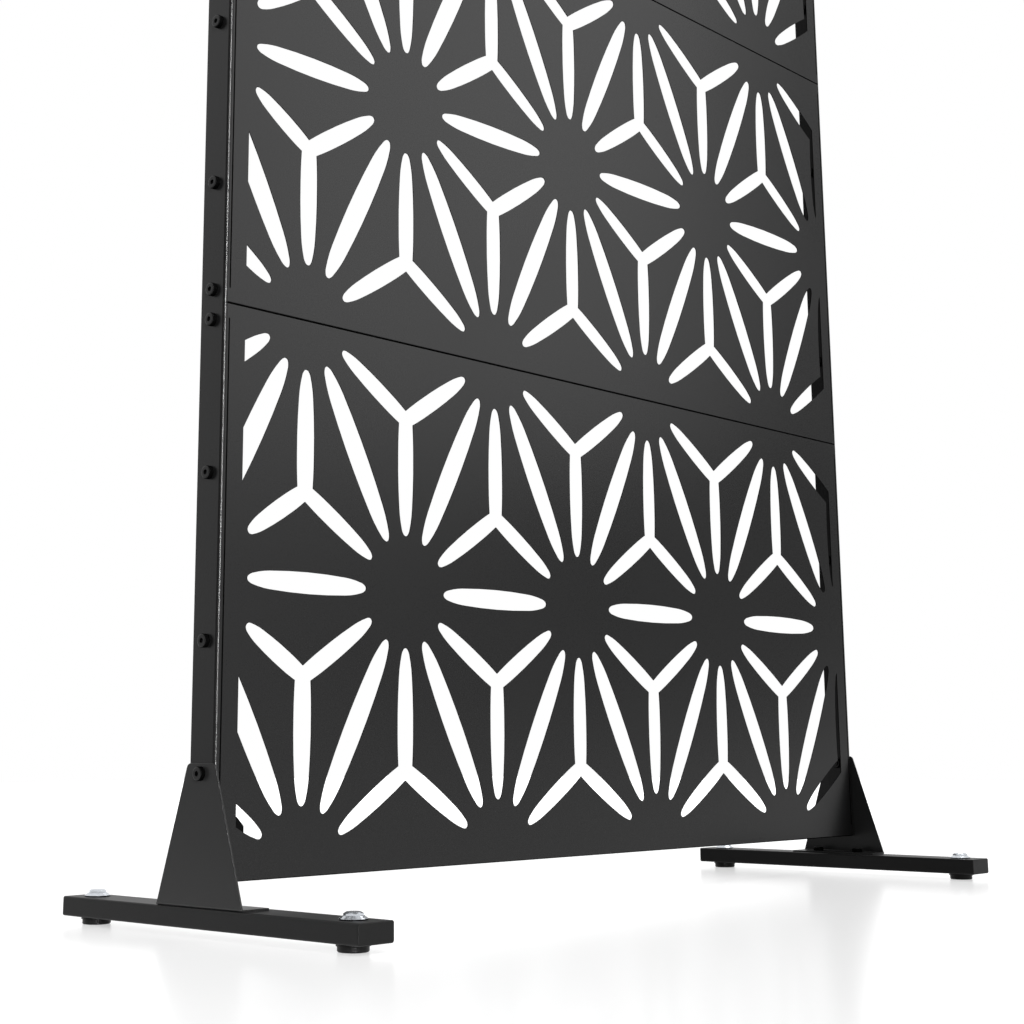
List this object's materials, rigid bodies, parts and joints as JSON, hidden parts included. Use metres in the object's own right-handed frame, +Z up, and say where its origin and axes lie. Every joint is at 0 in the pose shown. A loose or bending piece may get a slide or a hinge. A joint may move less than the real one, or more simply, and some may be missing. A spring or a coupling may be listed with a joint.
{
  "type": "freestanding fence panel",
  "caption": "Freestanding black sheet-metal privacy screen: stacked trays cut with a hemp-leaf lattice, bolted between flat posts on base bars with screw-levelled feet",
  "frame": {"origin": "on the floor, midway between the two base bars and midway along them", "axes": "+X along the screen to the right seen from the lattice face, +Y to the back, +Z up"},
  "size_m": [1.2148, 0.45, 1.792],
  "materials": {
    "panel_coat": "satin black powder coat on folded sheet steel",
    "frame_coat": "satin black powder coat on steel bar, tube and bracket",
    "black_hardware": "blackened socket bolts",
    "zinc_hardware": "bright zinc-plated steel nuts, studs and inserts",
    "moulded_plastic": "moulded black plastic, slightly glossy"
  },
  "bodies": {
    "screen": {"lower_panel": "panel_coat", "middle_panel": "panel_coat", "upper_panel": "panel_coat", "lower_joint_bolts": "black_hardware", "lower_joint_nuts": "black_hardware", "upper_joint_bolts": "black_hardware", "upper_joint_nuts": "black_hardware", "left_post": "frame_coat", "left_post_bolts": "black_hardware", "left_post_nuts": "black_hardware", "left_bracket": "frame_coat", "left_bracket_bolt": "black_hardware", "left_bracket_nut": "black_hardware", "left_bracket_foot_bolts": "black_hardware", "left_bracket_foot_inserts": "zinc_hardware", "left_corner_angle": "frame_coat", "left_base_bar": "frame_coat", "left_front_end_cap": "moulded_plastic", "left_front_foot_weld_nut": "zinc_hardware", "left_front_foot_lock_nut": "zinc_hardware", "left_rear_end_cap": "moulded_plastic", "left_rear_foot_weld_nut": "zinc_hardware", "left_rear_foot_lock_nut": "zinc_hardware", "right_post": "frame_coat", "right_post_bolts": "black_hardware", "right_post_nuts": "black_hardware", "right_bracket": "frame_coat", "right_bracket_bolt": "black_hardware", "right_bracket_nut": "black_hardware", "right_bracket_foot_bolts": "black_hardware", "right_bracket_foot_inserts": "zinc_hardware", "right_corner_angle": "frame_coat", "right_base_bar": "frame_coat", "right_front_end_cap": "moulded_plastic", "right_front_foot_weld_nut": "zinc_hardware", "right_front_foot_lock_nut": "zinc_hardware", "right_rear_end_cap": "moulded_plastic", "right_rear_foot_weld_nut": "zinc_hardware", "right_rear_foot_lock_nut": "zinc_hardware"},
    "left_front_pad": {"left_front_foot_pad": "moulded_plastic"},
    "left_front_stud": {"left_front_foot_stud": "zinc_hardware"},
    "left_rear_pad": {"left_rear_foot_pad": "moulded_plastic"},
    "left_rear_stud": {"left_rear_foot_stud": "zinc_hardware"},
    "right_front_pad": {"right_front_foot_pad": "moulded_plastic"},
    "right_front_stud": {"right_front_foot_stud": "zinc_hardware"},
    "right_rear_pad": {"right_rear_foot_pad": "moulded_plastic"},
    "right_rear_stud": {"right_rear_foot_stud": "zinc_hardware"}
  },
  "joints": [
    {"name": "left_front_level", "type": "slide", "parent": "screen", "child": "left_front_pad", "axis": [0, 0, -1], "range_m": [0, 0.0045]},
    {"name": "left_front_turn", "type": "hinge", "parent": "left_front_pad", "child": "left_front_stud", "pos_m": [-0.5795, -0.195, 0.008], "axis": [0, 0, -1], "range_deg": [0, 1080]},
    {"name": "left_rear_level", "type": "slide", "parent": "screen", "child": "left_rear_pad", "axis": [0, 0, -1], "range_m": [0, 0.0045]},
    {"name": "left_rear_turn", "type": "hinge", "parent": "left_rear_pad", "child": "left_rear_stud", "pos_m": [-0.5795, 0.195, 0.008], "axis": [0, 0, -1], "range_deg": [0, 1080]},
    {"name": "right_front_level", "type": "slide", "parent": "screen", "child": "right_front_pad", "axis": [0, 0, -1], "range_m": [0, 0.0045]},
    {"name": "right_front_turn", "type": "hinge", "parent": "right_front_pad", "child": "right_front_stud", "pos_m": [0.5795, -0.195, 0.008], "axis": [0, 0, -1], "range_deg": [0, 1080]},
    {"name": "right_rear_level", "type": "slide", "parent": "screen", "child": "right_rear_pad", "axis": [0, 0, -1], "range_m": [0, 0.0045]},
    {"name": "right_rear_turn", "type": "hinge", "parent": "right_rear_pad", "child": "right_rear_stud", "pos_m": [0.5795, 0.195, 0.008], "axis": [0, 0, -1], "range_deg": [0, 1080]}
  ],
  "couplings": [
    {"joint": "left_front_turn", "follows": "left_front_level", "rad_per_m": 4188.8},
    {"joint": "left_rear_turn", "follows": "left_rear_level", "rad_per_m": 4188.8},
    {"joint": "right_front_turn", "follows": "right_front_level", "rad_per_m": 4188.8},
    {"joint": "right_rear_turn", "follows": "right_rear_level", "rad_per_m": 4188.8}
  ]
}
